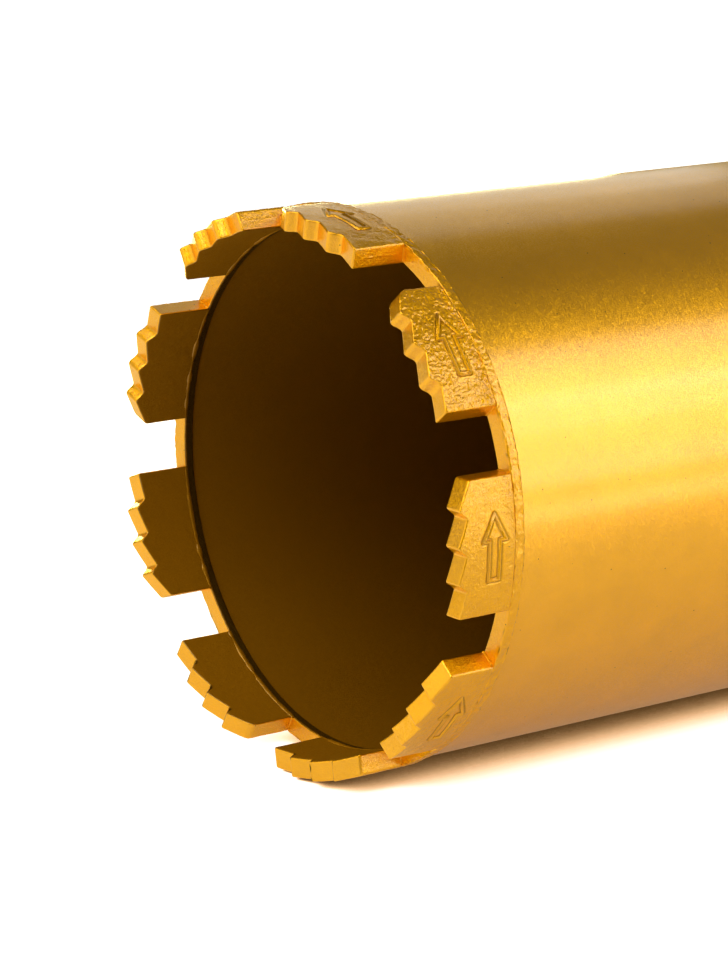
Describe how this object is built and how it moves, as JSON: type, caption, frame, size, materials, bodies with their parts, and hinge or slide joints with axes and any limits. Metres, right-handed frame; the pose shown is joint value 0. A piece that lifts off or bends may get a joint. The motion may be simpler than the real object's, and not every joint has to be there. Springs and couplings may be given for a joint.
{
  "type": "diamond core bit",
  "caption": "Wet-drilling diamond core bit: painted steel barrel with toothed segments on a ring at its open end and a threaded hub on its back plate.",
  "frame": {"origin": "middle of the hub's mouth, where the bit stands on its hub", "axes": "+Z along the barrel, from the hub to the cutting teeth; the first segment looks along -Y"},
  "size_m": [0.102, 0.1017, 0.4133],
  "materials": {
    "body_paint": "gold metallic lacquer, sprayed, satin gloss",
    "segment_paint": "gold metallic lacquer over rough sintered segments",
    "hub_steel": "turned steel thread, masked from the paint"
  },
  "bodies": {
    "root": {"hub": "body_paint", "back_plate": "body_paint", "barrel": "body_paint", "crown_ring": "body_paint", "segment_1": "segment_paint", "segment_2": "segment_paint", "segment_3": "segment_paint", "segment_4": "segment_paint", "segment_5": "segment_paint", "segment_6": "segment_paint", "segment_7": "segment_paint", "segment_8": "segment_paint", "segment_9": "segment_paint"}
  },
  "joints": []
}
